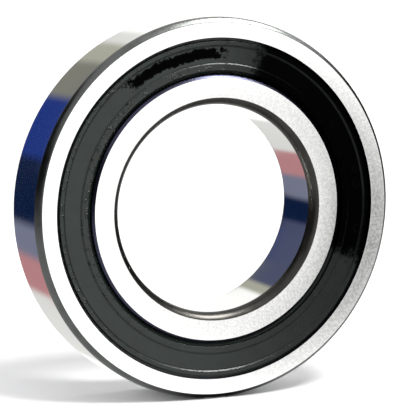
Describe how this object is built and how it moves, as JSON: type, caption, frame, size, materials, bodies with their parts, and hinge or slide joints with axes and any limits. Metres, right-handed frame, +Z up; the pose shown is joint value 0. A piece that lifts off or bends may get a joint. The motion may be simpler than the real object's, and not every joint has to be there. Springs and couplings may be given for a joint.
{
  "type": "ball bearing",
  "caption": "Deep-groove ball bearing with ground steel rings, caged balls and black rubber contact seals on both sides.",
  "frame": {"origin": "centre of the bearing, on its axis and in its middle plane", "axes": "+Y along the bearing's axis from the front face to the rear face, +Z up with the bearing standing on its rim, +X to the right seen from the front"},
  "size_m": [0.11, 0.022, 0.11],
  "materials": {
    "outer_ring_steel": "ground side faces, superfinished outside diameter",
    "inner_ring_steel": "ground side faces, polished bore",
    "ball_steel": "mirror lapped",
    "cage_steel": "pressed sheet, dull",
    "rivet_steel": "headed, satin",
    "seal_rubber": "moulded black rubber, semi-matt with an oily film",
    "stiffener_steel": "cold-rolled sheet"
  },
  "bodies": {
    "outer_ring": {"outer_ring": "outer_ring_steel", "front_seal": "seal_rubber", "front_stiffener": "stiffener_steel", "rear_seal": "seal_rubber", "rear_stiffener": "stiffener_steel"},
    "inner_ring": {"inner_ring": "inner_ring_steel"},
    "cage": {"cage_front": "cage_steel", "cage_rear": "cage_steel", "cage_rivet_01": "rivet_steel", "cage_rivet_02": "rivet_steel", "cage_rivet_03": "rivet_steel", "cage_rivet_04": "rivet_steel", "cage_rivet_05": "rivet_steel", "cage_rivet_06": "rivet_steel", "cage_rivet_07": "rivet_steel", "cage_rivet_08": "rivet_steel", "cage_rivet_09": "rivet_steel", "cage_rivet_10": "rivet_steel"},
    "ball_01": {"ball_01": "ball_steel"},
    "ball_02": {"ball_02": "ball_steel"},
    "ball_03": {"ball_03": "ball_steel"},
    "ball_04": {"ball_04": "ball_steel"},
    "ball_05": {"ball_05": "ball_steel"},
    "ball_06": {"ball_06": "ball_steel"},
    "ball_07": {"ball_07": "ball_steel"},
    "ball_08": {"ball_08": "ball_steel"},
    "ball_09": {"ball_09": "ball_steel"},
    "ball_10": {"ball_10": "ball_steel"}
  },
  "joints": [
    {"name": "inner_ring_spin", "type": "hinge", "parent": "outer_ring", "child": "inner_ring", "pos_m": [0, 0, 0], "axis": [0, 1, 0], "continuous": true},
    {"name": "cage_spin", "type": "hinge", "parent": "outer_ring", "child": "cage", "pos_m": [0, 0, 0], "axis": [0, 1, 0], "continuous": true},
    {"name": "ball_01_spin", "type": "hinge", "parent": "cage", "child": "ball_01", "pos_m": [0, 0, 0.0425], "axis": [0, 1, 0], "continuous": true},
    {"name": "ball_02_spin", "type": "hinge", "parent": "cage", "child": "ball_02", "pos_m": [0.02498, 0, 0.03438], "axis": [0, 1, 0], "continuous": true},
    {"name": "ball_03_spin", "type": "hinge", "parent": "cage", "child": "ball_03", "pos_m": [0.04042, 0, 0.01313], "axis": [0, 1, 0], "continuous": true},
    {"name": "ball_04_spin", "type": "hinge", "parent": "cage", "child": "ball_04", "pos_m": [0.04042, 0, -0.01313], "axis": [0, 1, 0], "continuous": true},
    {"name": "ball_05_spin", "type": "hinge", "parent": "cage", "child": "ball_05", "pos_m": [0.02498, 0, -0.03438], "axis": [0, 1, 0], "continuous": true},
    {"name": "ball_06_spin", "type": "hinge", "parent": "cage", "child": "ball_06", "pos_m": [0, 0, -0.0425], "axis": [0, 1, 0], "continuous": true},
    {"name": "ball_07_spin", "type": "hinge", "parent": "cage", "child": "ball_07", "pos_m": [-0.02498, 0, -0.03438], "axis": [0, 1, 0], "continuous": true},
    {"name": "ball_08_spin", "type": "hinge", "parent": "cage", "child": "ball_08", "pos_m": [-0.04042, 0, -0.01313], "axis": [0, 1, 0], "continuous": true},
    {"name": "ball_09_spin", "type": "hinge", "parent": "cage", "child": "ball_09", "pos_m": [-0.04042, 0, 0.01313], "axis": [0, 1, 0], "continuous": true},
    {"name": "ball_10_spin", "type": "hinge", "parent": "cage", "child": "ball_10", "pos_m": [-0.02498, 0, 0.03438], "axis": [0, 1, 0], "continuous": true}
  ],
  "couplings": [
    {"joint": "cage_spin", "follows": "inner_ring_spin", "ratio": 0.40662},
    {"joint": "ball_01_spin", "follows": "inner_ring_spin", "ratio": -2.5838},
    {"joint": "ball_02_spin", "follows": "inner_ring_spin", "ratio": -2.5838},
    {"joint": "ball_03_spin", "follows": "inner_ring_spin", "ratio": -2.5838},
    {"joint": "ball_04_spin", "follows": "inner_ring_spin", "ratio": -2.5838},
    {"joint": "ball_05_spin", "follows": "inner_ring_spin", "ratio": -2.5838},
    {"joint": "ball_06_spin", "follows": "inner_ring_spin", "ratio": -2.5838},
    {"joint": "ball_07_spin", "follows": "inner_ring_spin", "ratio": -2.5838},
    {"joint": "ball_08_spin", "follows": "inner_ring_spin", "ratio": -2.5838},
    {"joint": "ball_09_spin", "follows": "inner_ring_spin", "ratio": -2.5838},
    {"joint": "ball_10_spin", "follows": "inner_ring_spin", "ratio": -2.5838}
  ]
}
